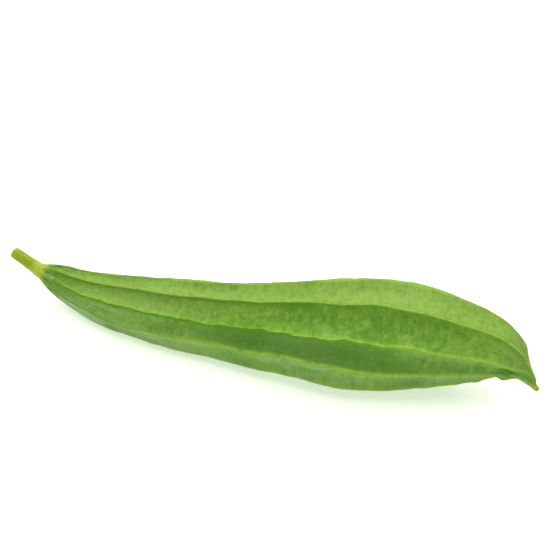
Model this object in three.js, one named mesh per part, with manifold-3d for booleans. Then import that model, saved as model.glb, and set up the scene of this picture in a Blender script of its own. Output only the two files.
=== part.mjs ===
// A ridge gourd as picked: one ribbed fruit with its cut stalk at one end and the dry base of its flower
// at the other, lying on two of its ten ridges. Millimetres, +Z up. The fruit runs along X, with its stalk
// towards -X, and the origin is on the table under the middle of the bounding box.
import * as THREE from "three";
import { mergeVertices } from "three/addons/utils/BufferGeometryUtils.js";
import Module from "manifold-3d";

const wasm = await Module();
wasm.setup();

// The fruit, from its stalk to its flower end: x, y and z are a point of its axis, and radius is from the
// axis to the ridge crests. The slim half droops on to the table, and the tip hooks down into a beak.
const FRUIT = [
  { x: -134.7, y: 12.3, z: 15.8, radius: 4.5 },
  { x: -129.6, y: 11, z: 15.6, radius: 6.5 },
  { x: -122, y: 8.6, z: 15.5, radius: 8.8 },
  { x: -109, y: 4.8, z: 15, radius: 11.4 },
  { x: -91, y: 1.6, z: 14.8, radius: 14.7 },
  { x: -64, y: -1.2, z: 16.7, radius: 18.3 },
  { x: -30, y: -2.4, z: 19.3, radius: 21 },
  { x: 4, y: -2.8, z: 22.6, radius: 24.4 },
  { x: 28, y: -2.3, z: 25.5, radius: 27.8 },
  { x: 50, y: -1.3, z: 28.3, radius: 30.4 },
  { x: 66, y: 1, z: 29.8, radius: 31 },
  { x: 84, y: 3.4, z: 31.1, radius: 28.6 },
  { x: 104, y: 4.6, z: 32.2, radius: 24.5 },
  { x: 118, y: 5, z: 32.4, radius: 20.4 },
  { x: 128, y: 5.1, z: 31, radius: 16.6 },
  { x: 134, y: 5.2, z: 28, radius: 13.2 },
  { x: 138.1, y: 5.4, z: 24.2, radius: 10 },
  { x: 141.8, y: 5.5, z: 20.9, radius: 6.8 },
  { x: 145.4, y: 5.7, z: 17.4, radius: 4.3 },
  { x: 147.9, y: 5.9, z: 14.2, radius: 3.35 },
  { x: 149.8, y: 6.1, z: 10.8, radius: 2.2 },
];

// Ridges: ten round the fruit, two of them down, so that it stands on both. No two run quite alike. Each
// one strays from its even place by so many degrees half-way along, at the flower end and on the beak.
const RIDGES = [
  { middle: 0, end: 1, tip: -20 },
  { middle: 3, end: 10, tip: -45 },
  { middle: -7, end: 5, tip: -5 },
  { middle: -2, end: -3, tip: 0 },
  { middle: 0, end: 2, tip: 0 },
  { middle: 0, end: -2, tip: 0 },
  { middle: 3, end: 4, tip: 0 },
  { middle: -4, end: -8, tip: 0 },
  { middle: 2, end: -12, tip: 0 },
  { middle: -2, end: -15, tip: 0 },
];
const RIDGE_COUNT = RIDGES.length;
const FIRST_RIDGE_ANGLE = 18; // degrees from straight up, towards -Y
const TWIST = 10; // degrees that all of them turn at the flower end
const MIDDLE_SPAN = [0.3, 0.7]; // where along the fruit they stray half-way
const END_SPAN = [0.62, 0.92]; // where they turn towards the flower end
const TIP_SPAN = [0.91, 1]; // where they turn on the beak
const RIDGE_SHARE = 0.15; // a ridge's height, as a share of the radius to its crest
const RIDGE_POWER = 2.4; // how hollow the face between two ridges is
const SWAY = 1.4; // degrees that a crest wanders round the fruit
const SWAY_WAVES = 4.3; // wanders along the fruit
const CREST_SWELL = 0.012; // how much a crest rises and falls, as a share of its radius
const SWELL_WAVES = 6.7;
const GOLDEN = (Math.sqrt(5) - 1) / 2; // spreads the ridges' phases evenly, with no two alike

// The stalk, from the fruit to its cut end, and the dry flower base, from the beak outwards.
const STALK = [
  { x: -135.1, y: 12.42, z: 15.86, radius: 4.4 },
  { x: -136.6, y: 12.8, z: 15.95, radius: 4.15 },
  { x: -138.9, y: 13.3, z: 16.9, radius: 3.85 },
  { x: -143.3, y: 13.9, z: 18.9, radius: 3.55 },
  { x: -148.8, y: 14.7, z: 21.5, radius: 3.35 },
  { x: -152.9, y: 15.2, z: 23.3, radius: 3.25 },
];
const FLOWER_BASE = [
  { x: 150, y: 6.14, z: 10.4, radius: 1.65 },
  { x: 151, y: 6.2, z: 9.4, radius: 1.5 },
  { x: 152.1, y: 6.3, z: 8.3, radius: 1.5 },
];
const STALK_RIBS = 5;
const RIB_SHARE = 0.06;

// How finely each solid is divided.
const FRUIT_ROWS = 72;
const END_CROWDING = 0.45; // rows lie closer together at the ends, where the form changes fastest
const FACE_STEPS = [0, 0.1, 0.28, 0.5, 0.72, 0.9]; // points from one crest towards the next
const SMALL_ROWS = 10;
const SMALL_SIDES = 20;
const UP = new THREE.Vector3(0, 0, 1);

// Distances along a list of stations, from its first.
function distances(stations) {
  const found = [0];
  for (let i = 1; i < stations.length; i++) {
    const a = stations[i - 1];
    const b = stations[i];
    found.push(found[i - 1] + Math.hypot(b.x - a.x, b.y - a.y, b.z - a.z));
  }
  return found;
}

// One value of the stations at a distance, on a smooth curve through them all.
function valueAt(stations, knots, key, distance) {
  const last = knots.length - 1;
  let i = 0;
  while (i < last - 1 && distance > knots[i + 1]) i++;
  const rise = (a) => (stations[a + 1][key] - stations[a][key]) / (knots[a + 1] - knots[a]);
  const slope = (a) => {
    if (a === 0) return rise(0);
    if (a === last) return rise(last - 1);
    const before = knots[a] - knots[a - 1];
    const after = knots[a + 1] - knots[a];
    return (rise(a - 1) * after + rise(a) * before) / (before + after);
  };
  const span = knots[i + 1] - knots[i];
  const t = (distance - knots[i]) / span;
  const [t2, t3] = [t * t, t * t * t];
  return (
    stations[i][key] * (2 * t3 - 3 * t2 + 1) +
    stations[i + 1][key] * (3 * t2 - 2 * t3) +
    span * (slope(i) * (t3 - 2 * t2 + t) + slope(i + 1) * (t3 - t2))
  );
}

// The closed skin swept along the stations. radiusAt(angle, share, radius) shapes each cross-section.
function sweep(stations, shares, angles, radiusAt) {
  const knots = distances(stations);
  const length = knots[knots.length - 1];
  const point = (d) =>
    new THREE.Vector3(...["x", "y", "z"].map((key) => valueAt(stations, knots, key, d)));
  const step = length / 1000;
  const positions = [];
  const rows = shares.map((share) => {
    const d = share * length;
    const centre = point(d);
    const along = point(Math.min(d + step, length)).sub(point(Math.max(d - step, 0))).normalize();
    const top = UP.clone().addScaledVector(along, -UP.dot(along)).normalize();
    const side = along.clone().cross(top);
    const radius = valueAt(stations, knots, "radius", d);
    const ring = angles.map((column) => {
      const { angle, reach } = radiusAt(column, share, radius);
      return centre
        .clone()
        .addScaledVector(top, reach * Math.cos(angle))
        .addScaledVector(side, reach * Math.sin(angle));
    });
    return { centre, ring };
  });
  const put = (...points) => points.forEach((p) => positions.push(p.x, p.y, p.z));
  const count = angles.length;
  for (let i = 0; i < rows.length - 1; i++) {
    const near = rows[i].ring;
    const far = rows[i + 1].ring;
    for (let j = 0; j < count; j++) {
      const next = (j + 1) % count;
      put(near[j], near[next], far[next]);
      put(near[j], far[next], far[j]);
    }
  }
  const first = rows[0];
  const end = rows[rows.length - 1];
  for (let j = 0; j < count; j++) {
    const next = (j + 1) % count;
    put(first.centre, first.ring[next], first.ring[j]);
    put(end.centre, end.ring[j], end.ring[next]);
  }
  const geometry = new THREE.BufferGeometry();
  geometry.setAttribute("position", new THREE.Float32BufferAttribute(positions, 3));
  return geometry;
}

const evenShares = (rows) => Array.from({ length: rows + 1 }, (_, i) => i / rows);

// Where the fruit's rows lie, closer together at both ends.
function fruitShares() {
  const turn = 2 * Math.PI;
  return evenShares(FRUIT_ROWS).map((t) => t - (END_CROWDING * Math.sin(turn * t)) / turn);
}

// The angle of a ridge's crest round the axis, at a share of the fruit's length.
function crestAngle(k, share) {
  const own = RIDGES[k % RIDGE_COUNT];
  const [from, to] = MIDDLE_SPAN;
  const middle = Math.sin(Math.PI * THREE.MathUtils.clamp((share - from) / (to - from), 0, 1)) ** 2;
  const end = THREE.MathUtils.smoothstep(share, ...END_SPAN);
  const tip = THREE.MathUtils.smoothstep(share, ...TIP_SPAN);
  const sway = Math.sin(Math.PI * share) * Math.sin(2 * Math.PI * (SWAY_WAVES * share + k * GOLDEN));
  const even = FIRST_RIDGE_ANGLE + (360 * k) / RIDGE_COUNT;
  const turned = own.middle * middle + (TWIST + own.end) * end + own.tip * tip;
  return THREE.MathUtils.degToRad(even + turned + SWAY * sway);
}

// A point of the fruit's cross-section: crests at the ridges and a hollow face between two of them.
function ridgedReach({ ridge, step }, share, radius) {
  const angle = crestAngle(ridge, share) * (1 - step) + crestAngle(ridge + 1, share) * step;
  const swell = (k) => Math.sin(2 * Math.PI * (SWELL_WAVES * share + (k * k + 1) * GOLDEN));
  const near = step < 0.5 ? ridge : ridge + 1;
  const closeness = Math.abs(1 - 2 * step) ** RIDGE_POWER;
  const floor = radius * (1 - RIDGE_SHARE);
  const height = radius * (RIDGE_SHARE + CREST_SWELL * swell(near % RIDGE_COUNT));
  return { angle, reach: floor + height * closeness };
}

function fruitGeometry() {
  const columns = [];
  for (let ridge = 0; ridge < RIDGE_COUNT; ridge++) {
    FACE_STEPS.forEach((step) => columns.push({ ridge, step }));
  }
  return sweep(FRUIT, fruitShares(), columns, ridgedReach);
}

// A round rod with faint ribs, for the stalk and the flower base.
function rodGeometry(stations) {
  const columns = Array.from({ length: SMALL_SIDES }, (_, i) => (2 * Math.PI * i) / SMALL_SIDES);
  const ribbed = (angle, share, radius) => {
    const reach = radius * (1 + RIB_SHARE * Math.cos(STALK_RIBS * angle));
    return { angle, reach };
  };
  return sweep(stations, evenShares(SMALL_ROWS), columns, ribbed);
}

function toManifold(geometry) {
  const bare = geometry.index ? geometry.toNonIndexed() : geometry;
  bare.deleteAttribute("normal");
  bare.deleteAttribute("uv");
  const merged = mergeVertices(bare, 1e-4);
  return new wasm.Manifold(
    new wasm.Mesh({
      numProp: 3,
      vertProperties: merged.attributes.position.array,
      triVerts: new Uint32Array(merged.index.array),
    }),
  );
}

function toGeometry(solid) {
  const mesh = solid.getMesh();
  const geometry = new THREE.BufferGeometry();
  geometry.setAttribute("position", new THREE.BufferAttribute(mesh.vertProperties, 3));
  geometry.setIndex(new THREE.BufferAttribute(mesh.triVerts, 1));
  geometry.computeVertexNormals();
  return geometry;
}

// The two ridges underneath are pressed flat where they touch the table.
function pressedFlat(geometry) {
  const [long, deep] = [400, 100];
  const table = new THREE.BoxGeometry(long, long, deep);
  table.translate(0, 0, -deep / 2);
  return toGeometry(toManifold(geometry).subtract(toManifold(table)));
}

function part(name, geometry, color, roughness) {
  const material = new THREE.MeshStandardMaterial({ color, roughness, metalness: 0 });
  const mesh = new THREE.Mesh(geometry, material);
  mesh.name = name;
  return mesh;
}

const gourd = new THREE.Group();
gourd.add(part("fruit", pressedFlat(fruitGeometry()), 0x7aa540, 0.5));
gourd.add(part("stalk", rodGeometry(STALK), 0xa3b535, 0.6));
gourd.add(part("flower_base", rodGeometry(FLOWER_BASE), 0x94972f, 0.8));

export default gourd;
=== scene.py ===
"""Dresses a ridge gourd: a ribbed green fruit with its cut stalk and the dry base of its flower.

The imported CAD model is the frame. Each of its three solids is replaced by a finer skin of the same form,
with a procedural finish. Lengths are in millimetres until a mesh is made, and then in metres.
"""

import logging
import math
from collections.abc import Sequence
from dataclasses import dataclass
from enum import Enum

import bpy
import numpy as np
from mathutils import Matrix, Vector, noise

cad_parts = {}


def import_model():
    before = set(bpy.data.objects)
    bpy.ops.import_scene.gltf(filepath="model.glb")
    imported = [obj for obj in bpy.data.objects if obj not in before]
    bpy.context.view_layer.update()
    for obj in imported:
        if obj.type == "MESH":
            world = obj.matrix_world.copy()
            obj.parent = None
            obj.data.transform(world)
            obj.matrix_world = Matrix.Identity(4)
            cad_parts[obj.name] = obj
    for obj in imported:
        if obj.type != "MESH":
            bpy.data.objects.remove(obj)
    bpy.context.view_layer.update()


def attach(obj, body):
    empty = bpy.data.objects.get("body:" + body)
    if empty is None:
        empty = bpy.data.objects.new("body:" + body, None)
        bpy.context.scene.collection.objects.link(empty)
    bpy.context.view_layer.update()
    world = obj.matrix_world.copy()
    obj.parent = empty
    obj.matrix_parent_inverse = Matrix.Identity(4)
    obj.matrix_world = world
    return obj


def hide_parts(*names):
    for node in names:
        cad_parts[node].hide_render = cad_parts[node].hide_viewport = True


LOG = logging.getLogger("ridge_gourd")

Pair = tuple[float, float]  # two limits, or a length along the gourd and one across it
Socket = bpy.types.NodeSocket

MM = 0.001  # metres in a millimetre
GOLDEN = (math.sqrt(5.0) - 1.0) / 2.0  # spreads the ridges' phases evenly, with no two alike
SLIM_MM = 20.0  # where the fruit's radius is below this, its fine forms are lower too
UNROLLED_MM = 25.0  # the radius of the fruit where its patterns are laid out, straightened

# Sockets of Blender's Mix node when it mixes colours.
MIX_A, MIX_B, MIX_RESULT = 6, 7, 2


class Attribute(Enum):
    """What a skin stores at its points for the finishes to read."""

    STRAIGHT = "straight"  # the point's place on a straightened gourd, in millimetres
    ALONG = "along"  # from 0 to 1: on the fruit from the stalk on, on the others from the fruit on
    CREST = "crest"  # distance from the nearest ridge's crest, in millimetres
    PALE = "pale"  # how yellow the nearest crest is, from 0 to 1
    SHADOW_BELOW = "seam"  # how dark the painted shadow line below the nearest crest is, and 0 above the crest
    FAIR = "fair"  # how pale the face is, from -1 for the deepest green to 1 for the palest; partly painted light, as the top faces are palest and the face turned to the front deepest
    BLOOM_AND_SHEEN = "bloom_and_sheen_share"  # how much grey bloom and painted sheen of reflected light the face has, from 0 to 1
    CUT = "cut"  # 1 on a cut or broken end


@dataclass(frozen=True)
class Station:
    """A point of an axis and how far the surface reaches from it, in millimetres."""

    x: float
    y: float
    z: float
    radius: float


class Axis:
    """A smooth curve through stations, with the surface's radius along it."""

    def __init__(self, stations: Sequence[Station]) -> None:
        """Works out the distances and the slopes at the stations.

        Args:
            stations: the axis's stations, from one end to the other.
        """
        self.values = np.array([[s.x, s.y, s.z, s.radius] for s in stations])
        gaps = np.linalg.norm(np.diff(self.values[:, :3], axis=0), axis=1)
        self.knots = np.concatenate(([0.0], np.cumsum(gaps)))
        rises = np.diff(self.values, axis=0) / gaps[:, None]
        before, after = gaps[:-1, None], gaps[1:, None]
        inner = (rises[:-1] * after + rises[1:] * before) / (before + after)
        self.slopes = np.concatenate((rises[:1], inner, rises[-1:]))

    @property
    def length(self) -> float:
        """The axis's length in millimetres."""
        return float(self.knots[-1])

    def at(self, distances: np.ndarray) -> np.ndarray:
        """The curve's x, y, z and radius at some distances from its first station.

        Args:
            distances: the distances, in millimetres.

        Returns:
            One row of four values for each distance.
        """
        low = np.clip(np.searchsorted(self.knots, distances) - 1, 0, len(self.knots) - 2)
        span = (self.knots[low + 1] - self.knots[low])[:, None]
        t = (distances - self.knots[low])[:, None] / span
        t2, t3 = t * t, t * t * t
        return (
            self.values[low] * (2 * t3 - 3 * t2 + 1)
            + self.values[low + 1] * (3 * t2 - 2 * t3)
            + span * (self.slopes[low] * (t3 - 2 * t2 + t) + self.slopes[low + 1] * (t3 - t2))
        )

    def frames(self, shares: np.ndarray) -> tuple[np.ndarray, ...]:
        """The places and directions of cross-sections along the curve.

        Args:
            shares: where they lie, from 0 to 1 along the curve.

        Returns:
            The centres, the directions that are up, the directions to the side, and the radii.
        """
        step = self.length / 1000.0
        distances = shares * self.length
        here = self.at(distances)
        ahead = self.at(np.minimum(distances + step, self.length))[:, :3]
        behind = self.at(np.maximum(distances - step, 0.0))[:, :3]
        along = ahead - behind
        along /= np.linalg.norm(along, axis=1)[:, None]
        top = np.array([0.0, 0.0, 1.0]) - along * along[:, 2:3]
        top /= np.linalg.norm(top, axis=1)[:, None]
        return here[:, :3], top, np.cross(along, top), here[:, 3]


def smooth_step(values: np.ndarray, low: float, high: float) -> np.ndarray:
    """A smooth rise from 0 at low to 1 at high, or a fall if low is above high."""
    t = np.clip((values - low) / (high - low), 0.0, 1.0)
    return t * t * (3.0 - 2.0 * t)


def crowded(values: np.ndarray, share: float) -> np.ndarray:
    """Crowds even values from 0 to 1 towards both ends, by a share from 0 to 1."""
    return values - share * np.sin(2 * np.pi * values) / (2 * np.pi)


def swept(frames: Sequence[np.ndarray], reach: np.ndarray, angles: np.ndarray) -> np.ndarray:
    """The points of cross-sections along an axis.

    Args:
        frames: the centres, the directions that are up, and the directions to the side.
        reach: how far each point is from its centre, in millimetres.
        angles: and at what angle from straight up.

    Returns:
        The points, in millimetres.
    """
    centres, tops, sides = frames
    return (
        centres[:, None]
        + tops[:, None] * (reach * np.cos(angles))[:, :, None]
        + sides[:, None] * (reach * np.sin(angles))[:, :, None]
    )


def straightened(distances: np.ndarray, radius: np.ndarray | float, angles: np.ndarray) -> np.ndarray:
    """The points if their axis were straight, from where each is along it, how far off, and its angle."""
    places = (distances[:, None], radius * np.cos(angles), radius * np.sin(angles))
    return np.stack(np.broadcast_arrays(*places), axis=2)


def unevenness(points: np.ndarray, size: float, octaves: int = 2) -> np.ndarray:
    """Smooth unevenness that is the same each run.

    Args:
        points: where to take it, in millimetres, as an array whose last axis holds x, y and z.
        size: the width of its swells, in millimetres.
        octaves: how many finer layers it has.

    Returns:
        A value from about -1 to 1 for each point.
    """
    flat = points.reshape(-1, 3) / size
    found = [noise.fractal(Vector(p), 1.0, 2.0, octaves) for p in flat]
    return np.array(found).reshape(points.shape[:-1])


def skin_object(
    name: str,
    rings: np.ndarray,
    ends: tuple[np.ndarray, np.ndarray],
    attributes: dict[Attribute, np.ndarray],
) -> bpy.types.Object:
    """Makes a closed skin from cross-sections.

    Args:
        name: the object's name.
        rings: the points of each cross-section, in millimetres.
        ends: the points that close its two ends.
        attributes: what it stores at the points of its rings, by attribute. Each end takes its ring's mean.

    Returns:
        The object, at the origin.
    """
    rows, columns = rings.shape[:2]
    near = np.arange(columns)
    beside = (near + 1) % columns
    faces: list[tuple[int, ...]] = []
    for start in range(0, (rows - 1) * columns, columns):
        beyond = start + columns
        faces += zip(near + start, beside + start, beside + beyond, near + beyond)
    last = (rows - 1) * columns
    first_end, last_end = rows * columns, rows * columns + 1
    faces += zip(np.full(columns, first_end), beside, near)
    faces += zip(np.full(columns, last_end), near + last, beside + last)
    points = np.concatenate((rings.reshape(-1, 3), np.stack(ends))) * MM
    mesh = bpy.data.meshes.new(name)
    mesh.from_pydata(points.tolist(), [], [tuple(map(int, face)) for face in faces])
    mesh.polygons.foreach_set("use_smooth", [True] * len(mesh.polygons))
    for attribute, values in attributes.items():
        kind, field = ("FLOAT_VECTOR", "vector") if values.ndim == 3 else ("FLOAT", "value")
        closing = np.stack((values[0].mean(axis=0), values[-1].mean(axis=0)))
        stored = np.concatenate((values.ravel(), closing.ravel())).astype(np.float32)
        mesh.attributes.new(attribute.value, kind, "POINT").data.foreach_set(field, stored)
    mesh.validate()
    made = bpy.data.objects.new(name, mesh)
    bpy.context.scene.collection.objects.link(made)
    return made


def linear(hex_colour: str) -> tuple[float, float, float, float]:
    """Turns an sRGB hex colour to linear.

    Args:
        hex_colour: the colour, such as "8DB64A".

    Returns:
        Its linear red, green and blue, and an alpha of 1.
    """
    channels = [int(hex_colour[i : i + 2], 16) / 255.0 for i in (0, 2, 4)]
    red, green, blue = (
        c / 12.92 if c <= 0.04045 else ((c + 0.055) / 1.055) ** 2.4 for c in channels
    )
    return red, green, blue, 1.0


def feed(tree: bpy.types.NodeTree, socket: Socket, value: object) -> None:
    """Sets a socket to a value, or links another node's output to it.

    Args:
        tree: the node tree that the socket is in.
        socket: the socket.
        value: the value or the output.
    """
    if isinstance(value, Socket):
        tree.links.new(value, socket)
    else:
        socket.default_value = value


def add_node(
    tree: bpy.types.NodeTree,
    kind: str,
    inputs: dict[str | int, object] | None = None,
    **settings: object,
) -> bpy.types.Node:
    """Adds a node with its settings and links.

    Args:
        tree: the node tree it goes in.
        kind: Blender's name for the kind of node, without "ShaderNode".
        inputs: for each socket's name or number, a value, or another node's output to link to it.
        settings: the node's own settings.

    Returns:
        The node.
    """
    made = tree.nodes.new("ShaderNode" + kind)
    for name, value in settings.items():
        setattr(made, name, value)
    for socket, value in (inputs or {}).items():
        feed(tree, made.inputs[socket], value)
    return made


class Finish:
    """What all finishes share: the tree, its shader, and the layers of colour and bumps on it."""

    def __init__(self, name: str, base: str) -> None:
        """Makes a material of one colour.

        Args:
            name: the material's name.
            base: the colour that the layers lie on, as sRGB hex.
        """
        self.material = bpy.data.materials.new(name)
        self.material.use_nodes = True
        self.tree = self.material.node_tree
        self.tree.nodes.clear()
        self.shader = add_node(self.tree, "BsdfPrincipled")
        add_node(self.tree, "OutputMaterial", {"Surface": self.shader.outputs["BSDF"]})
        self.colour: Socket | tuple[float, ...] = linear(base)  # with the layers so far
        self.bumps: dict[str, Socket] = {}  # the normal of the bumps so far, if there are any

    def read(self, attribute: Attribute) -> Socket:
        """The output that gives a skin's stored values."""
        kind = "Vector" if attribute is Attribute.STRAIGHT else "Fac"
        return add_node(self.tree, "Attribute", attribute_name=attribute.value).outputs[kind]

    def pattern(self, size: Pair, detail: float = 2.0) -> Socket:
        """Uneven spots on the straightened skin.

        Args:
            size: the spots' length along the gourd and width across it, in millimetres.
            detail: how many finer layers they have.

        Returns:
            The output that gives a value from about 0.3 to 0.7.
        """
        long, wide = size
        scale = (1.0 / long, 1.0 / wide, 1.0 / wide)
        straight = self.read(Attribute.STRAIGHT)
        place = add_node(self.tree, "VectorMath", {0: straight, 1: scale}, operation="MULTIPLY")
        inputs = {"Vector": place.outputs[0], "Scale": 1.0, "Detail": detail}
        return add_node(self.tree, "TexNoise", inputs).outputs["Fac"]

    def span(self, value: Socket, limits: Pair, to: Pair = (0.0, 1.0)) -> Socket:
        """Spreads the values between two limits smoothly over another range, and holds them there."""
        inputs = {"Value": value, 1: limits[0], 2: limits[1], 3: to[0], 4: to[1]}
        return add_node(self.tree, "MapRange", inputs, interpolation_type="SMOOTHSTEP").outputs["Result"]

    def times(self, *values: Socket | float) -> Socket:
        """Multiplies outputs and numbers.

        Args:
            values: the outputs and the numbers.

        Returns:
            The output that gives their product.
        """
        made = values[0]
        for value in values[1:]:
            node = add_node(self.tree, "Math", {0: made, 1: value}, operation="MULTIPLY")
            made = node.outputs[0]
        return made

    def layer(self, colour: str, share: Socket) -> None:
        """Mixes a share of a colour, given as sRGB hex, into the colour so far."""
        inputs = {0: share, MIX_A: self.colour, MIX_B: linear(colour)}
        self.colour = add_node(self.tree, "Mix", inputs, data_type="RGBA").outputs[MIX_RESULT]

    def bump(self, height: Socket, distance: float) -> None:
        """Raises a pattern, whose 1 stands this many millimetres high, on the bumps so far."""
        inputs = {"Height": height, "Distance": distance * MM, **self.bumps}
        self.bumps = {"Normal": add_node(self.tree, "Bump", inputs).outputs["Normal"]}

    def finish_with(self, **inputs: object) -> bpy.types.Material:
        """Feeds the shader the layers and its other inputs.

        Args:
            inputs: the others' values or outputs, with underscores for the spaces in their names.

        Returns:
            The material.
        """
        for name, value in {"Base Color": self.colour, **self.bumps, **inputs}.items():
            feed(self.tree, self.shader.inputs[name.replace("_", " ")], value)
        return self.material


@dataclass(frozen=True)
class WaxyGourdSkin:
    """The rind of a ridge gourd: mottled dull green with some grey bloom and yellowish crests, and painted
    light and shade.
    """

    light: str = "7AA739"
    deep: str = "629428"
    # dark green of the mottles, also used for painted shade below the crests and in the beak's hollows, and
    # on the deepest faces
    mottle_and_shade_dark: str = "497C18"
    mottle_pale: str = "96BC5C"
    # green of the palest faces, partly painted light on the top faces
    fair: str = "8DB050"
    olive: str = "7A9B34"
    # grey bloom, made paler so that it also serves as a painted sheen of reflected light
    bloom_and_sheen: str = "A6C696"
    crest: str = "98BF46"
    # the dark green of the unripe crests near the stalk, and of the painted shadow line below the crests
    seam: str = "538806"
    ochre: str = "A09C3C"
    brown: str = "7D5F2C"
    neck_dark: str = "4F8424"
    neck_pale: str = "AACB66"
    stalk_end: str = "A8C044"
    tip: str = "8E9F35"
    cloud_mm: Pair = (27.0, 15.0)  # broad lighter and darker clouds: along, across
    patch_mm: Pair = (30.0, 14.0)  # olive patches of the palest faces: along, across
    mottle_mm: float = 3.4  # soft spots
    grain_mm: float = 1.0  # fine grain: about 0.5 mm on the fruit, drawn coarser to show
    streak_mm: Pair = (1.9, 6.0)  # faint streaks across a face: along, across
    spot_shares: tuple[float, ...] = (0.36, 0.46, 0.28)  # how much streaks, spots and grain show
    bloom_and_sheen_mm: Pair = (26.0, 9.0)  # patches of bloom and painted sheen: along, across
    line_mm: Pair = (9.0, 1.5)  # lines along the neck
    fleck_mm: Pair = (3.6, 1.3)  # pale flecks of the neck: along, across
    wear_mm: float = 3.0  # uneven wear of the crests
    rub_mm: Pair = (3.5, 9.0)  # rubbed places of the crests: along, across
    crest_mm: float = 2.3  # half the width of a pale crest
    shadow_line_mm: float = 1.5  # width of the painted shadow line below a crest
    shade_mm: float = 4.5  # width of the soft band of painted shade below a crest
    neck_span: Pair = (0.13, 0.03)  # where the neck's markings grow full, along the fruit
    joint_span: Pair = (0.008, 0.03)  # and where they end, at the stalk
    beak_span: Pair = (0.9, 0.94)  # where painted shade darkens the hollows towards the beak

    def faces(self, made: Finish) -> None:
        """Adds the colours of the faces between the crests, with painted light: paler top faces, a deeper
        front face, a painted sheen in the bloom and painted shade in the hollows at the beak.

        Args:
            made: the finish to add to.
        """
        clouds = made.pattern(self.cloud_mm, 3.0)
        mottles = made.pattern((self.mottle_mm, self.mottle_mm))
        grain = made.pattern((self.grain_mm, self.grain_mm), 1.0)
        streaks = made.pattern(self.streak_mm)
        fair = made.read(Attribute.FAIR)
        calm = made.times(
            made.span(fair, (-0.7, 0.1), (0.35, 1.0)),  # the deepest faces show few spots
            made.span(fair, (0.1, 1.0), (1.0, 0.75)),  # and the palest somewhat fewer
        )
        made.layer(self.deep, made.span(clouds, (0.34, 0.66)))
        # The deepest and palest faces: partly their own tone, partly painted light, with the top faces
        # palest and the face turned to the front deepest.
        made.layer(self.mottle_and_shade_dark, made.span(fair, (0.0, -1.0)))
        made.layer(self.fair, made.span(fair, (0.0, 1.0), (0.0, 0.85)))
        patches = made.span(made.pattern(self.patch_mm), (0.5, 0.64), (0.0, 0.4))
        made.layer(self.olive, made.times(patches, made.span(fair, (0.3, 1.0))))
        for spots, share in zip((streaks, mottles, grain), self.spot_shares):
            dark = made.span(spots, (0.48, 0.75), (0.0, share))
            made.layer(self.mottle_and_shade_dark, made.times(dark, calm))
            pale = made.span(spots, (0.48, 0.25), (0.0, share))
            made.layer(self.mottle_pale, made.times(pale, calm))
        # Grey bloom, which on some faces also stands in for a painted sheen of light reflected from the
        # table and the room.
        uneven = made.span(made.pattern(self.bloom_and_sheen_mm), (0.4, 0.6), (0.35, 1.0))
        made.layer(self.bloom_and_sheen, made.times(made.read(Attribute.BLOOM_AND_SHEEN), uneven))
        along = made.read(Attribute.ALONG)
        tip = made.times(made.span(along, (0.94, 0.975)), made.span(fair, (0.5, 1.0)))
        made.layer(self.mottle_pale, made.times(tip, 0.6))
        # Painted shade in the hollows towards the beak, stronger on the deeper faces.
        hollow = made.span(made.read(Attribute.CREST), (0.8, 3.0))
        beak = made.times(made.span(along, self.beak_span), hollow)
        green = made.span(fair, (0.8, 0.1), (0.15, 0.5))
        made.layer(self.mottle_and_shade_dark, made.times(beak, green))

    def on_neck(self, made: Finish) -> Socket:
        """How far a point is on the neck, from 0 to 1."""
        along = made.read(Attribute.ALONG)
        return made.times(made.span(along, self.neck_span), made.span(along, self.joint_span))

    def neck(self, made: Finish) -> None:
        """Adds the darker neck with its lines and pale flecks, and the paler end at the stalk.

        Args:
            made: the finish to add to.
        """
        along = made.read(Attribute.ALONG)
        near = self.on_neck(made)
        made.layer(self.neck_dark, made.times(near, 0.3))
        lines = made.span(made.pattern(self.line_mm), (0.46, 0.6))
        made.layer(self.neck_dark, made.times(near, lines, 0.7))
        flecks = made.span(made.pattern(self.fleck_mm), (0.56, 0.66))
        made.layer(self.neck_pale, made.times(near, flecks, 0.75))
        made.layer(self.stalk_end, made.span(along, (0.026, 0.004), (0.0, 0.95)))

    def crests(self, made: Finish) -> None:
        """Adds the crests: dark at the stalk, yellowish further on, with painted shade and a ragged painted
        shadow line below.

        Args:
            made: the finish to add to.
        """
        along = made.read(Attribute.ALONG)
        crest = made.read(Attribute.CREST)
        pale = made.read(Attribute.PALE)
        below = made.times(made.read(Attribute.SHADOW_BELOW), made.span(along, (0.02, 0.07)))
        ragged = made.pattern((self.wear_mm, self.wear_mm))
        wide = made.span(crest, (self.crest_mm, 0.5))
        thin = made.span(crest, (0.7, 0.25))
        worn = made.span(ragged, (0.34, 0.6), (0.5, 0.95))
        green = made.span(along, (0.9, 0.95), (1.0, 0.5))
        made.layer(self.crest, made.times(wide, worn, green, pale))
        # A soft band of painted shade below each crest.
        shade = made.span(crest, (self.shade_mm, 0.4))
        made.layer(self.mottle_and_shade_dark, made.times(below, shade, 0.55))
        # A ragged painted shadow line along the foot of each crest's lip, on its lower side.
        shift = made.span(ragged, (0.3, 0.7), (-0.5, 0.9))
        edge = add_node(made.tree, "Math", {0: crest, 1: shift}, operation="ADD").outputs[0]
        line = made.span(edge, (self.shadow_line_mm * 1.4, self.shadow_line_mm * 0.6))
        made.layer(self.seam, made.times(below, line, 0.9))
        # Near the stalk the crests themselves are dark green, in the same colour.
        early = made.times(made.span(along, (0.3, 0.14)), made.span(along, (0.02, 0.06)))
        rib = made.span(crest, (1.2, 0.35))
        made.layer(self.seam, made.times(rib, early, 0.6))
        rubbed = made.span(made.pattern(self.rub_mm), (0.6, 0.68))
        far = made.span(along, (0.55, 0.7))
        made.layer(self.ochre, made.times(thin, rubbed, far, pale, 0.35))
        old = made.span(along, (0.8, 0.9))
        dull = made.span(pale, (0.28, 0.16))
        made.layer(self.brown, made.times(thin, old, dull, 0.8))

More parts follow.
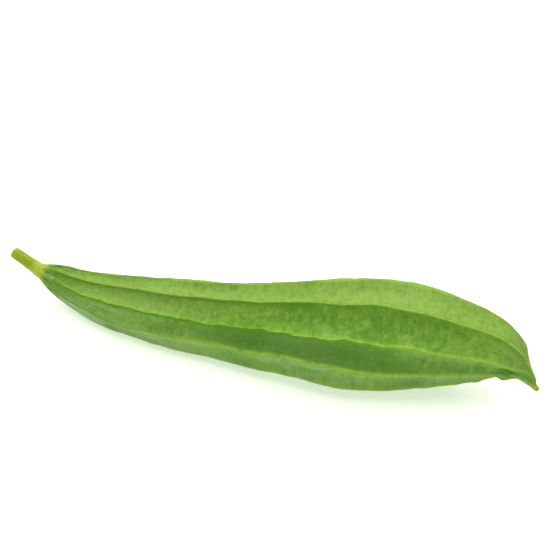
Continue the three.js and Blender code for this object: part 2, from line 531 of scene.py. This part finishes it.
    def material(self) -> bpy.types.Material:
        """Mixes the rind's colour, gloss and grain.

        Returns:
            The material.
        """
        made = Finish("waxy_gourd_skin", self.light)
        self.faces(made)
        self.neck(made)
        self.crests(made)
        along = made.read(Attribute.ALONG)
        made.layer(self.tip, made.span(along, (0.98, 1.0), (0.0, 0.7)))
        grain = made.pattern((self.grain_mm, self.grain_mm))
        lines = made.times(self.on_neck(made), made.pattern(self.line_mm))
        made.bump(grain, 0.03)
        made.bump(made.pattern(self.streak_mm), 0.06)
        made.bump(lines, 0.35)
        return made.finish_with(
            Roughness=made.span(grain, (0.3, 0.7), (0.58, 0.7)),
            IOR=1.45,
            Specular_IOR_Level=0.12,
            Coat_Weight=0.02,
            Coat_Roughness=0.55,
            Subsurface_Weight=0.05,
            Subsurface_Radius=(0.7, 1.0, 0.3),
            Subsurface_Scale=0.002,
        )


@dataclass(frozen=True)
class FibrousStalk:
    """A fresh cut stalk, as grown: stringy and yellow-green, with a paler pithy end."""

    light: str = "A0B42A"
    deep: str = "8AA31C"
    joint: str = "AEC24E"
    pith: str = "CDD08C"
    rim: str = "8F8A34"
    string_mm: Pair = (11.0, 0.7)  # strings under the skin: along, across
    blotch_mm: Pair = (5.0, 3.0)  # darker blotches: along, across
    pore_mm: float = 0.8  # pores of the pith, drawn a little coarser to show

    def material(self) -> bpy.types.Material:
        """Mixes the stalk's colour, gloss and strings.

        Returns:
            The material.
        """
        made = Finish("fibrous_stalk", self.light)
        along = made.read(Attribute.ALONG)
        cut = made.read(Attribute.CUT)
        strings = made.pattern(self.string_mm)
        blotches = made.pattern(self.blotch_mm)
        pores = made.pattern((self.pore_mm, self.pore_mm), 1.0)
        made.layer(self.deep, made.span(blotches, (0.35, 0.65)))
        made.layer(self.deep, made.span(strings, (0.4, 0.62), (0.0, 0.5)))
        made.layer(self.joint, made.span(along, (0.4, 0.1), (0.0, 0.9)))
        made.layer(self.rim, made.span(cut, (0.1, 0.5), (0.0, 0.8)))
        made.layer(self.pith, made.span(cut, (0.6, 0.9)))
        pitted = made.times(made.span(cut, (0.6, 0.9)), made.span(pores, (0.52, 0.66)))
        made.layer(self.rim, made.times(pitted, 0.7))
        made.bump(strings, 0.18)
        made.bump(pores, 0.08)
        return made.finish_with(
            Roughness=made.span(strings, (0.35, 0.65), (0.5, 0.66)),
            IOR=1.45,
            Specular_IOR_Level=0.25,
            Subsurface_Weight=0.06,
            Subsurface_Radius=(1.0, 1.0, 0.3),
            Subsurface_Scale=0.002,
        )


@dataclass(frozen=True)
class DryFlowerBase:
    """What a flower leaves on a gourd, dried: olive and brown, dull and creased."""

    light: str = "AAB64A"
    deep: str = "8C9A30"
    torn: str = "847E34"
    crease_mm: Pair = (3.0, 0.8)  # creases: along, across

    def material(self) -> bpy.types.Material:
        """Mixes the flower base's colour and creases.

        Returns:
            The material.
        """
        made = Finish("dry_flower_base", self.light)
        creases = made.pattern(self.crease_mm)
        made.layer(self.deep, made.span(creases, (0.42, 0.62)))
        made.layer(self.torn, made.span(made.read(Attribute.CUT), (0.2, 0.9), (0.0, 0.85)))
        made.bump(creases, 0.3)
        return made.finish_with(
            Roughness=made.span(creases, (0.35, 0.65), (0.7, 0.86)),
            IOR=1.45,
            Specular_IOR_Level=0.3,
        )


@dataclass(frozen=True)
class Stray:
    """A stretch where a crest strays to one side: its place and half its length, as shares, and how far."""

    place: float
    reach: float
    degrees: float


@dataclass(frozen=True)
class Fold:
    """A fold round the underside: its place and half its length, as shares of the length, and its height."""

    place: float
    reach: float
    height_mm: float


@dataclass(frozen=True)
class Ridge:
    """A ridge and the face after it: where the ridge strays, in degrees, and their tones."""

    middle: float  # how far it is turned in its middle
    end: float  # and at the flower end
    tip: float = 0.0  # and on the beak
    pale: float = 0.6  # how yellow its crest is
    ripe: float = 0.42  # where its crest turns yellow, as a share of the length
    seam: Pair = (0.3, 0.2)  # how dark the painted shadow line below its crest is: most of it, the flower end
    ragged: float = 0.5  # how uneven its crest is
    fair: tuple[float, float, float] = (0.2, 0.1, 0.2)  # the face's paleness, partly painted light: stalk, middle, flower end
    fair_until: float = 0.9  # where the face's middle ends, as a share of the length
    bloom_and_sheen_share: Pair = (0.2, 0.23)  # how much bloom and painted sheen the face has: stalk, beyond
    strays: tuple[Stray, ...] = ()


class Grid:
    """The fruit's points: cross-sections along it, each with the same places from ridge to ridge."""

    def __init__(
        self, length: float, shares: np.ndarray, radii: np.ndarray, crests: np.ndarray, face: np.ndarray
    ) -> None:
        """Works out where the points are.

        Args:
            length: the fruit's length along its axis, in millimetres.
            shares: where each cross-section is along it, from 0 to 1.
            radii: the radius to the crests there, in millimetres.
            crests: the crests' angles there from straight up, and the first one's again a turn on.
            face: the places across each face, from 0 to 1.
        """
        count = crests.shape[1] - 1
        self.length, self.shares, self.radii = length, shares, radii
        self.before = np.repeat(np.arange(count), len(face))  # the number of the ridge before each place
        self.steps = np.tile(face, count)  # how far the place is from there to the next, from 0 to 1
        self.nearest = np.where(self.steps < 0.5, self.before, self.before + 1) % count
        self.off = np.minimum(self.steps, 1 - self.steps)  # how far it is from the nearest ridge
        start, end = crests[:, self.before], crests[:, self.before + 1]
        self.angles = start * (1 - self.steps) + end * self.steps
        self.straight = straightened(shares * length, UNROLLED_MM, self.angles)
        # The first face's width in millimetres stands for that of all at its cross-section.
        self.face_widths = (crests[:, 1] - crests[:, 0])[:, None] * radii[:, None]
        # A point is under the nearest crest where it is on the crest's lower side.
        self.under_crest = (self.steps < 0.5) == (np.sin(crests[:, self.nearest]) > 0)


@dataclass
class Fruit:
    """The fruit: ten ridges swept from the stalk to a hooked tip.

    Spans and places are shares of its length, and waves are counted over its whole length.
    """

    stations: tuple[Station, ...] = (
        Station(-134.7, 12.3, 15.8, 4.42),
        Station(-129.6, 11.0, 15.6, 6.5),
        Station(-122.0, 8.6, 15.5, 8.8),
        Station(-109.0, 4.8, 15.0, 11.4),
        Station(-91.0, 1.6, 14.8, 14.7),
        Station(-64.0, -1.2, 16.7, 18.3),
        Station(-30.0, -2.4, 19.3, 21.0),
        Station(4.0, -2.8, 22.6, 24.4),
        Station(28.0, -2.3, 25.5, 27.8),
        Station(50.0, -1.3, 28.3, 30.4),
        Station(66.0, 1.0, 29.8, 31.0),
        Station(84.0, 3.4, 31.1, 28.6),
        Station(104.0, 4.6, 32.2, 24.5),
        Station(118.0, 5.0, 32.4, 20.4),
        Station(128.0, 5.1, 31.0, 16.6),
        Station(134.0, 5.2, 28.0, 13.2),
        Station(138.1, 5.4, 24.2, 10.0),
        Station(141.8, 5.5, 20.9, 6.8),
        Station(145.4, 5.7, 17.4, 4.3),
        Station(147.9, 5.9, 14.2, 3.15),
        Station(149.8, 6.1, 10.8, 1.8),
    )
    ridges: tuple[Ridge, ...] = (
        Ridge(
            middle=0.0, end=1.0, tip=-20.0, pale=0.3, ragged=0.2,
            seam=(0.65, 0.35), fair=(0.9, 0.1, 0.75), bloom_and_sheen_share=(0.0, 0.0),
            strays=(
                Stray(0.4, 0.03, 2.5), Stray(0.53, 0.04, -1.2), Stray(0.64, 0.04, 3.0),
                Stray(0.78, 0.04, -2.0), Stray(0.9, 0.03, -3.0),
            ),
        ),
        Ridge(
            middle=3.0, end=10.0, tip=-45.0, pale=0.75, ripe=0.45, ragged=1.0,
            seam=(0.9, 0.25), fair=(0.2, -0.65, 0.15), fair_until=0.74, bloom_and_sheen_share=(0.24, 0.09),
            strays=(Stray(0.3, 0.04, 1.5), Stray(0.48, 0.09, -2.2), Stray(0.7, 0.035, 4.0)),
        ),
        Ridge(
            middle=-7.0, end=5.0, tip=-5.0, pale=1.0, ripe=0.2, ragged=0.8,
            seam=(0.4, 0.2), fair=(0.9, 0.15, 0.45), fair_until=0.64, bloom_and_sheen_share=(0.95, 0.3),
            strays=(Stray(0.2, 0.06, 4.0), Stray(0.46, 0.05, 3.0), Stray(0.57, 0.04, 2.0)),
        ),
        Ridge(
            middle=-2.0, end=-3.0, ragged=0.1, bloom_and_sheen_share=(0.2, 0.22),
            strays=(Stray(0.56, 0.06, -6.5), Stray(0.76, 0.05, -6.5)),
        ),
        Ridge(middle=0.0, end=2.0, pale=0.5, seam=(0.2, 0.2), ragged=0.4),
        Ridge(middle=0.0, end=-2.0, pale=0.7, bloom_and_sheen_share=(0.2, 0.22)),
        Ridge(middle=3.0, end=4.0, pale=0.9, ripe=0.3, seam=(0.5, 0.2), ragged=0.9, bloom_and_sheen_share=(0.2, 0.14)),
        Ridge(middle=-4.0, end=-8.0, seam=(0.8, 0.2), ragged=0.7, fair=(0.5, 0.2, 0.2), bloom_and_sheen_share=(0.04, 0.04)),
        Ridge(middle=2.0, end=-12.0, pale=0.8, seam=(0.7, 0.2), fair=(0.9, 0.7, 0.9), bloom_and_sheen_share=(0.0, 0.0)),
        Ridge(middle=-2.0, end=-15.0, pale=0.15, seam=(0.5, 0.2), fair=(1.0, 1.0, 1.0), bloom_and_sheen_share=(0.0, 0.0)),
    )
    fair_from: Pair = (0.22, 0.5)  # where a face changes from its tones at the stalk
    bloom_and_sheen_from: Pair = (0.15, 0.3)  # where its bloom and painted sheen change
    fair_fade: float = 0.045  # half the length over which it changes back
    settle_span: Pair = (0.62, 0.75)  # beyond it the crests are smoother and the painted shadow lines below them fainter
    settled: float = 0.4  # how much of their unevenness the crests keep there
    pinch_span: Pair = (0.87, 0.93)  # beyond it, on the beak, the painted shadow lines below the crests are dark again
    ripening: float = 0.22  # the length over which a crest turns yellow
    unripe: float = 0.15  # how yellow it is before
    first_angle: float = 18.0  # degrees from straight up to the first ridge, towards -Y
    twist: float = 10.0  # degrees that the ridges turn at the flower end
    middle_span: Pair = (0.3, 0.7)  # where each ridge's own turns take effect
    end_span: Pair = (0.62, 0.92)
    tip_span: Pair = (0.91, 1.0)
    sway: float = 1.4  # degrees that a crest wanders
    sway_waves: float = 4.3
    jog_mm: float = 0.3  # small jogs of a crest to its sides
    jog_waves: tuple[float, ...] = (13.0, 21.0, 34.0, 55.0)
    jog_bend: float = 0.8  # how far the jogs' waves are bent, in waves, so that they don't repeat
    drift: float = 9.0  # how fast that bend changes, in radians over the length
    ridge_share: float = 0.15  # a ridge's height, as a share of the radius to its crest
    ridge_power: float = 2.4  # how hollow a face is
    swell: float = 0.012  # slow changes of a ridge's height, as a share of the radius
    swell_waves: float = 6.7
    crest_rounding: float = 0.022  # of the way from one crest to the next
    ripple_mm: float = 0.07  # small waves of a crest
    ripple_waves: tuple[float, ...] = (17.0, 29.0, 47.0)
    ripple_bend: float = 0.4
    lip_mm: float = 0.5  # the hard lip that stands on a crest
    lip_width_mm: float = 0.95
    lip_waves: float = 23.0
    lip_uneven: float = 0.3  # how much its height changes in them, as a share of it
    lip_sunk: float = 0.6  # how far a lip is sunk into its crest, as a share of its height
    nicks: int = 26  # in each lip
    nick_mm: float = 0.5  # depth of the deepest
    nick_depths: Pair = (0.2, 1.0)  # as shares of that
    nick_span: Pair = (0.06, 0.95)
    nick_widths_mm: Pair = (0.5, 1.8)
    dimple_mm: float = 0.12  # broad unevenness of the faces
    dimple_width_mm: float = 13.0
    neck_rib_mm: float = 0.22  # fine ribs between the ridges near the stalk
    neck_ribs: int = 4  # on each face
    neck_span: Pair = (0.2, 0.04)
    beak_rib_mm: float = 0.6  # and between those below the beak
    beak_ribs: int = 3
    round_spans: tuple[Pair, ...] = ((0.0, 0.02), (1.0, 0.985))  # where it gets its ridges
    round_share: float = 0.97  # its radius where it has none, as a share of the radius to the crests
    folds: tuple[Fold, ...] = (
        Fold(0.92, 0.009, -0.1),
        Fold(0.943, 0.009, 1.3),
        Fold(0.962, 0.008, -0.8),
    )
    beak_groove: float = 0.11  # how much deeper the hollows are at the beak's foot, as a share of the radius
    beak_span: Pair = (0.89, 0.98)
    narrow_mm: float = 8.0  # on faces narrower than this, the tones of a crest are narrower too
    rows: int = 380
    face_columns: int = 24
    crowding: float = 0.45  # rows lie closer together at the ends
    face_crowding: float = 0.55  # and columns lie closer together at the crests
    seed: int = 11

    def crest_angles(self, shares: np.ndarray, radii: np.ndarray) -> np.ndarray:
        """The angles of the crests round the axis.

        Args:
            shares: where to take them, from 0 to 1 along the fruit.
            radii: the radius to the crests there, in millimetres.

        Returns:
            A row of angles in radians for each share. The last is the first one a turn on.
        """
        count = len(self.ridges)
        low, high = self.middle_span
        middle = np.sin(np.pi * np.clip((shares - low) / (high - low), 0.0, 1.0)) ** 2
        end = smooth_step(shares, *self.end_span)
        tip = smooth_step(shares, *self.tip_span)
        rough = 1.0 - (1.0 - self.settled) * smooth_step(shares, *self.settle_span)
        rng = np.random.default_rng(self.seed + 2)
        angles = []
        for number in range(count):
            own = self.ridges[number]
            wave = np.sin(2 * np.pi * (self.sway_waves * shares + number * GOLDEN))
            jogs = np.zeros_like(shares)
            for waves in self.jog_waves:
                bend = rng.random() + self.jog_bend * np.sin(self.drift * shares + number)
                jog = own.ragged * np.sin(2 * np.pi * (waves * shares + bend))
                jogs += jog * self.jog_waves[0] / waves
            strays = np.zeros_like(shares)
            for stray in own.strays:
                strays += stray.degrees * np.exp(-(((shares - stray.place) / stray.reach) ** 2))
            angles.append(
                self.first_angle
                + 360.0 * number / count
                + own.middle * middle
                + (self.twist + own.end) * end
                + own.tip * tip
                + self.sway * np.sin(np.pi * shares) * wave
                + strays
                + np.degrees(self.jog_mm * rough * jogs / np.maximum(radii, self.narrow_mm))
            )
        angles.append(angles[0] + 360.0)
        return np.radians(np.stack(angles, axis=1))

    def crest_heights(self, grid: Grid) -> np.ndarray:
        """The heights of the ridges over the hollows, with their swells and ripples.

        Args:
            grid: the fruit's points.

        Returns:
            A row of heights in millimetres for each cross-section, one for each ridge.
        """
        shares, radii = grid.shares, grid.radii
        rng = np.random.default_rng(self.seed)
        full = np.clip(radii / SLIM_MM, 0.0, 1.0)
        heights = []
        for number in range(len(self.ridges)):
            wave = np.sin(2 * np.pi * (self.swell_waves * shares + (number**2 + 1) * GOLDEN))
            height = radii * (self.ridge_share + self.swell * wave)
            for waves in self.ripple_waves:
                bend = rng.random() + self.ripple_bend * np.sin(self.drift * shares)
                ripple = np.sin(2 * np.pi * (waves * shares + bend))
                height += self.ripple_mm * full * ripple * self.ripple_waves[0] / waves
            heights.append(height)
        return np.stack(heights, axis=1)

    def lips(self, grid: Grid) -> np.ndarray:
        """The heights of the hard lips on the crests, with their nicks.

        Args:
            grid: the fruit's points.

        Returns:
            A row of heights in millimetres for each cross-section, one for each ridge.
        """
        shares = grid.shares
        rng = np.random.default_rng(self.seed + 1)
        full = self.lip_mm * np.clip(grid.radii / SLIM_MM, 0.0, 1.0)
        lips = []
        for ridge in self.ridges:
            wave = np.sin(2 * np.pi * (self.lip_waves * shares + rng.random()))
            lip = full * (1.0 + self.lip_uneven * wave)
            for _ in range(self.nicks):
                place, width = rng.uniform(*self.nick_span), rng.uniform(*self.nick_widths_mm)
                depth = rng.uniform(*self.nick_depths) * self.nick_mm * ridge.ragged
                lip = lip - depth * np.exp(-((((shares - place) * grid.length) / width) ** 2))
            lips.append(np.maximum(lip, 0.0))
        return np.stack(lips, axis=1)

    def each(self, name: str, chosen: np.ndarray) -> np.ndarray:
        """The value, or row of values, that each of the chosen ridges has in a field."""
        return np.array([getattr(ridge, name) for ridge in self.ridges])[chosen]

    def pinch(self, shares: np.ndarray) -> np.ndarray:
        """How far the fruit is pinched at the beak's foot, from 0 to 1."""
        low, high = self.beak_span
        return np.sin(np.pi * np.clip((shares - low) / (high - low), 0.0, 1.0)) ** 2

    def risen(self, shares: np.ndarray) -> np.ndarray:
        """How far the ridges have risen from the fruit's round ends, from 0 to 1."""
        near, far = self.round_spans
        return smooth_step(shares, *near) * smooth_step(shares, *far)

    def ridged(self, grid: Grid) -> np.ndarray:
        """The main form: high ridges, hollow faces and round ends.

        Args:
            grid: the fruit's points.

        Returns:
            How far each point is from the axis, in millimetres.
        """
        radii = grid.radii[:, None]
        pinched = (self.beak_groove * self.pinch(grid.shares) * grid.radii)[:, None]
        heights = self.crest_heights(grid)[:, grid.nearest] + pinched
        rounded = np.sqrt(grid.off**2 + self.crest_rounding**2) - self.crest_rounding
        closeness = np.clip(1 - 2 * rounded, 0.0, 1.0) ** self.ridge_power
        ribbed = radii * (1 - self.ridge_share) - pinched + heights * closeness
        risen = self.risen(grid.shares)[:, None]
        return ribbed * risen + self.round_share * radii * (1 - risen)

    def surface(self, grid: Grid) -> np.ndarray:
        """The main form with its lips, fine ribs, folds and dimples.

        Args:
            grid: the fruit's points.

        Returns:
            How far each point is from the axis, in millimetres.
        """
        shares, steps, angles = grid.shares, grid.steps, grid.angles
        reach = self.ridged(grid)
        lip = self.lips(grid)[:, grid.nearest]
        from_crest = grid.off * grid.face_widths
        reach += lip * (np.exp(-((from_crest / self.lip_width_mm) ** 2)) - self.lip_sunk)

        fading = np.sin(np.pi * steps)  # fine ribs are lower next to a crest
        neck = self.neck_rib_mm * (smooth_step(shares, *self.neck_span) * self.risen(shares))[:, None]
        reach += neck * np.cos(2 * np.pi * self.neck_ribs * steps) * fading
        below = np.clip(0.8 - np.cos(angles), 0.0, 1.0)  # on the sides and the underside
        beak = self.beak_rib_mm * below * self.pinch(shares)[:, None]
        reach += beak * np.cos(2 * np.pi * self.beak_ribs * steps) * fading
        underside = np.clip(0.4 - np.cos(angles), 0.0, 1.0)
        for fold in self.folds:
            raised = fold.height_mm * np.exp(-(((shares - fold.place) / fold.reach) ** 2))
            reach += raised[:, None] * underside

        dimples = self.dimple_mm * unevenness(grid.straight, self.dimple_width_mm)
        return reach + dimples * np.clip(grid.radii / SLIM_MM, 0.1, 1.0)[:, None]

    def tones(self, grid: Grid) -> dict[Attribute, np.ndarray]:
        """What the fruit's finish reads at each point.

        Args:
            grid: the fruit's points.

        Returns:
            The points' values, by attribute.
        """
        along, nearest, before = grid.shares[:, None], grid.nearest, grid.before
        ripe = self.each("ripe", nearest)
        yellow = smooth_step(along, ripe, ripe + self.ripening)
        settling = smooth_step(along, *self.settle_span)
        settling *= 1 - smooth_step(along, *self.pinch_span)
        seam, shadow_line_far = self.each("seam", nearest).T
        begun = smooth_step(along, *self.fair_from)
        until = self.each("fair_until", before)
        ended = smooth_step(along, until - self.fair_fade, until + self.fair_fade)
        fair_near, fair, fair_far = self.each("fair", before).T
        bloom_and_sheen_near, bloom_and_sheen_share = self.each("bloom_and_sheen_share", before).T
        bloom_and_sheen_grown = smooth_step(along, *self.bloom_and_sheen_from)
        return {
            Attribute.STRAIGHT: grid.straight,
            Attribute.ALONG: np.broadcast_to(along, grid.angles.shape),
            Attribute.CREST: grid.off * np.hypot(grid.face_widths, self.narrow_mm),
            Attribute.PALE: self.each("pale", nearest) * (self.unripe + (1 - self.unripe) * yellow),
            Attribute.SHADOW_BELOW: grid.under_crest * (seam + (shadow_line_far - seam) * settling),
            Attribute.FAIR: fair_near + (fair - fair_near) * begun + (fair_far - fair) * ended,
            Attribute.BLOOM_AND_SHEEN: bloom_and_sheen_near + (bloom_and_sheen_share - bloom_and_sheen_near) * bloom_and_sheen_grown,
        }

    def build(self) -> bpy.types.Object:
        """Sweeps the ridged cross-section along the axis.

        Returns:
            The fruit's object.
        """
        axis = Axis(self.stations)
        shares = crowded(np.linspace(0.0, 1.0, self.rows + 1), self.crowding)
        *frames, radii = axis.frames(shares)
        face = crowded(np.arange(self.face_columns) / self.face_columns, self.face_crowding)
        grid = Grid(axis.length, shares, radii, self.crest_angles(shares, radii), face)
        rings = swept(frames, self.surface(grid), grid.angles)
        rings[:, :, 2] = np.maximum(rings[:, :, 2], 0.0)  # pressed flat on the table
        centres = frames[0]
        return skin_object("fruit_skin", rings, (centres[0], centres[-1]), self.tones(grid))

    def dress(self, skin: bpy.types.Object) -> None:
        """Gives the fruit its finish and its place in the frame.

        Args:
            skin: the fruit's object.
        """
        skin.data.materials.append(WaxyGourdSkin().material())
        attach(skin, "root")
        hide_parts("fruit")


@dataclass
class Rod:
    """A ribbed rod that grows out of the fruit and has a cut or broken end."""

    name: str
    node: str
    slot: str
    stations: tuple[Station, ...]
    ribs: int
    rib_share: float  # the ribs' height, as a share of the radius
    rib_twist: float  # turns of the ribs over the rod's length
    rough_mm: float  # unevenness of its side
    end_depth: float  # how far the middle of its end is sunk, as a share of the radius
    rag_mm: float  # how ragged its end is
    round_mm: float  # how far its rim is rounded
    rough_width_mm: float = 1.6  # width of the side's unevenness
    rough_squeeze: float = 0.3  # that width as a share of its length along the rod
    rag_width_mm: float = 0.9
    lift: float = 0.12  # how high the rim stands over the end, as a share of the radius
    lift_span: float = 1 / 3  # how far in the rim reaches, as a share of the end's rows
    sunk_span: Pair = (0.2, 0.9)  # between which shares of the rows the end sinks
    cut_span: float = 1 / 2.2  # and how many the change to the end's colour takes
    crowding: float = 1.8  # rows lie closer together at the end
    end_crowding: float = 1.6  # and, on the end, at its rim
    rows: int = 60
    columns: int = 64
    end_rows: int = 10

    def end(
        self, rim: np.ndarray, places: np.ndarray, centre: np.ndarray, out: np.ndarray, radius: float
    ) -> tuple[list[np.ndarray], ...]:
        """Closes the rod's end, over a raised rim and down to a sunken middle.

        Args:
            rim: the side's last ring of points.
            places: and its places on the straightened rod.
            centre: the middle of the ring.
            out: the direction out of the end.
            radius: the radius there.

        Returns:
            The rings of the end's points, of their straightened places, and of how far each is on the cut.
        """
        rag = self.rag_mm * (unevenness(places, self.rag_width_mm) + 0.6)[:, None]
        rings, straight, cuts = [], [], []
        for share in np.linspace(0.0, 1.0, self.end_rows + 2)[1:-1]:
            lift = self.lift * math.sin(math.pi * min(share / self.lift_span, 1.0))
            sunk = self.end_depth * smooth_step(np.array(share), *self.sunk_span)
            ring = centre + (rim - centre) * (1 - share**self.end_crowding)
            rings.append(ring + out * (radius * (lift - sunk) + rag * (1 - share)))
            straight.append(places * np.array([1.0, 1 - share, 1 - share]))
            cuts.append(np.full(self.columns, min(1.0, share / self.cut_span)))
        return rings, straight, cuts

    def build(self) -> bpy.types.Object:
        """Sweeps the rod and closes its end.

        Returns:
            The rod's object.
        """
        axis = Axis(self.stations)
        shares = 1.0 - (1.0 - np.linspace(0.0, 1.0, self.rows + 1)) ** self.crowding
        *frames, radii = axis.frames(shares)
        edge = np.clip(1.0 - (1.0 - shares) * axis.length / self.round_mm, 0.0, 1.0)
        radii = radii - self.round_mm * (1.0 - np.sqrt(1.0 - edge**2))
        angles = np.arange(self.columns) * 2 * np.pi / self.columns
        turn = angles[None] + 2 * np.pi * self.rib_twist * shares[:, None]
        reach = radii[:, None] * (1 + self.rib_share * np.cos(self.ribs * turn))
        straight = straightened(shares * axis.length, radii[:, None], angles)
        stretched = straight * np.array([self.rough_squeeze, 1.0, 1.0])
        reach = reach + self.rough_mm * unevenness(stretched, self.rough_width_mm)
        rings = swept(frames, reach, angles)

        centres = frames[0]
        out = centres[-1] - centres[-2]
        out /= np.linalg.norm(out)
        end, places, cuts = self.end(rings[-1], straight[-1], centres[-1], out, radii[-1])
        along = np.broadcast_to(shares[:, None], reach.shape)
        return skin_object(
            self.name,
            np.concatenate((rings, end)),
            (centres[0], centres[-1] - out * self.end_depth * radii[-1]),
            {
                Attribute.STRAIGHT: np.concatenate((straight, places)),
                Attribute.ALONG: np.concatenate((along, np.ones((self.end_rows, self.columns)))),
                Attribute.CUT: np.concatenate((np.zeros_like(reach), cuts)),
            },
        )

    def dress(self, skin: bpy.types.Object, material: bpy.types.Material) -> None:
        """Gives the rod its finish and its place in the frame.

        Args:
            skin: the rod's object.
            material: its finish.
        """
        skin.data.materials.append(material)
        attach(skin, "root")
        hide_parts(self.node)


def stalk() -> Rod:
    """The cut stalk, which flares where the fruit hangs from it."""
    return Rod(
        name="stalk_skin",
        node="stalk",
        slot="stalk",
        stations=(
            Station(-133.9, 12.08, 15.78, 3.7),
            Station(-135.1, 12.42, 15.86, 4.24),
            Station(-136.6, 12.8, 15.95, 4.15),
            Station(-138.9, 13.3, 16.9, 3.85),
            Station(-143.3, 13.9, 18.9, 3.55),
            Station(-148.8, 14.7, 21.5, 3.35),
            Station(-152.9, 15.2, 23.3, 3.25),
        ),
        ribs=5,
        rib_share=0.05,
        rib_twist=0.06,
        rough_mm=0.1,
        end_depth=0.12,
        rag_mm=0.05,
        round_mm=1.6,
    )


def flower_base() -> Rod:
    """The dry base of the flower, at the tip of the beak."""
    return Rod(
        name="flower_base_skin",
        node="flower_base",
        slot="flower_base",
        stations=(
            Station(149.6, 6.08, 11.1, 1.8),
            Station(150.0, 6.14, 10.4, 1.65),
            Station(151.0, 6.2, 9.4, 1.5),
            Station(152.1, 6.3, 8.3, 1.5),
        ),
        ribs=5,
        rib_share=0.09,
        rib_twist=0.1,
        rough_mm=0.16,
        end_depth=0.35,
        rag_mm=0.2,
        round_mm=0.4,
        rows=26,
    )


def aimed(name: str, data: bpy.types.ID, place: Vector, back: Vector) -> bpy.types.Object:
    """Puts a camera or a lamp in the scene.

    Args:
        name: its name.
        data: its own settings.
        place: where it is, in metres.
        back: the direction that its back is turned to.

    Returns:
        Its object.
    """
    made = bpy.data.objects.new(name, data)
    made.location = place
    made.rotation_mode = "QUATERNION"
    made.rotation_quaternion = (-back).to_track_quat("-Z", "Y")
    bpy.context.scene.collection.objects.link(made)
    return made


@dataclass
class Studio:
    """A pale table, soft light from above and the camera of the photograph."""

    target_mm: tuple[float, float, float] = (8.5, -1.6, 59.1)
    azimuth: float = 17.0  # in degrees, as the elevation
    elevation: float = 40.0
    distance: float = 0.9  # in metres
    lens: float = 111.5  # on Blender's own 36 mm sensor
    floor_half: float = 12.0  # in metres, so that the card fills the low views too
    floor_drop: float = 0.0001  # keeps the table clear of the fruit's flats
    lamp: str = "FFFDF8"  # a daylight lamp
    lamp_place: tuple[float, float, float] = (0.0, 0.3, 1.5)  # in metres
    lamp_side: float = 3.0  # in metres
    lamp_power: float = 58.0  # in watts
    room_strength: float = 0.15  # faint light from all sides
    card: str = "FAFAF8"
    table_glow: float = 0.55  # the card is lit from below as well, so that shadows stay pale

    def camera(self) -> None:
        """Sets up the camera."""
        turn, rise = math.radians(self.azimuth), math.radians(self.elevation)
        level = math.cos(rise)
        back = Vector((math.sin(turn) * level, -math.cos(turn) * level, math.sin(rise)))
        data = bpy.data.cameras.new("camera")
        data.lens = self.lens
        place = Vector(self.target_mm) * MM + back * self.distance
        bpy.context.scene.camera = aimed("camera", data, place, back)

    def light(self) -> None:
        """Hangs a soft square lamp above, facing the fruit, and gives the room its faint light."""
        data = bpy.data.lights.new("key_above", "AREA")
        data.size = self.lamp_side
        data.color = linear(self.lamp)[:3]
        data.energy = self.lamp_power
        place = Vector(self.lamp_place)
        aimed("key_above", data, place, place)
        world = bpy.data.worlds.new("room")
        world.use_nodes = True
        background = world.node_tree.nodes["Background"]
        background.inputs["Color"].default_value = (1, 1, 1, 1)
        background.inputs["Strength"].default_value = self.room_strength
        bpy.context.scene.world = world

    def table(self) -> None:
        """Lays the pale card that the fruit is on."""
        half, low = self.floor_half, -self.floor_drop
        corners = [(-half, -half, low), (half, -half, low), (half, half, low), (-half, half, low)]
        mesh = bpy.data.meshes.new("table_card")
        mesh.from_pydata(corners, [], [(0, 1, 2, 3)])
        card = bpy.data.objects.new("table_card", mesh)
        bpy.context.scene.collection.objects.link(card)
        finish = Finish("matt_white_card", self.card)
        lit = finish.finish_with(
            Roughness=0.8,
            Emission_Color=linear(self.card),
            Emission_Strength=self.table_glow,
        )
        mesh.materials.append(lit)

    def build(self) -> None:
        """Sets up the camera, the light and the table."""
        self.camera()
        self.light()
        self.table()
        bpy.context.scene.view_settings.view_transform = "Standard"


def main() -> None:
    """Builds the gourd piece by piece round the frame."""
    logging.basicConfig(level=logging.INFO, format="%(name)s: %(message)s")
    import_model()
    Studio().build()
    fruit = Fruit()
    skin = fruit.build()
    fruit.dress(skin)
    LOG.info("fruit: %d faces", len(skin.data.polygons))
    for rod, finish in ((stalk(), FibrousStalk()), (flower_base(), DryFlowerBase())):
        made = rod.build()
        rod.dress(made, finish.material())
        LOG.info("%s: %d faces", rod.node, len(made.data.polygons))
    bpy.context.view_layer.update()


if __name__ == "__main__":
    main()
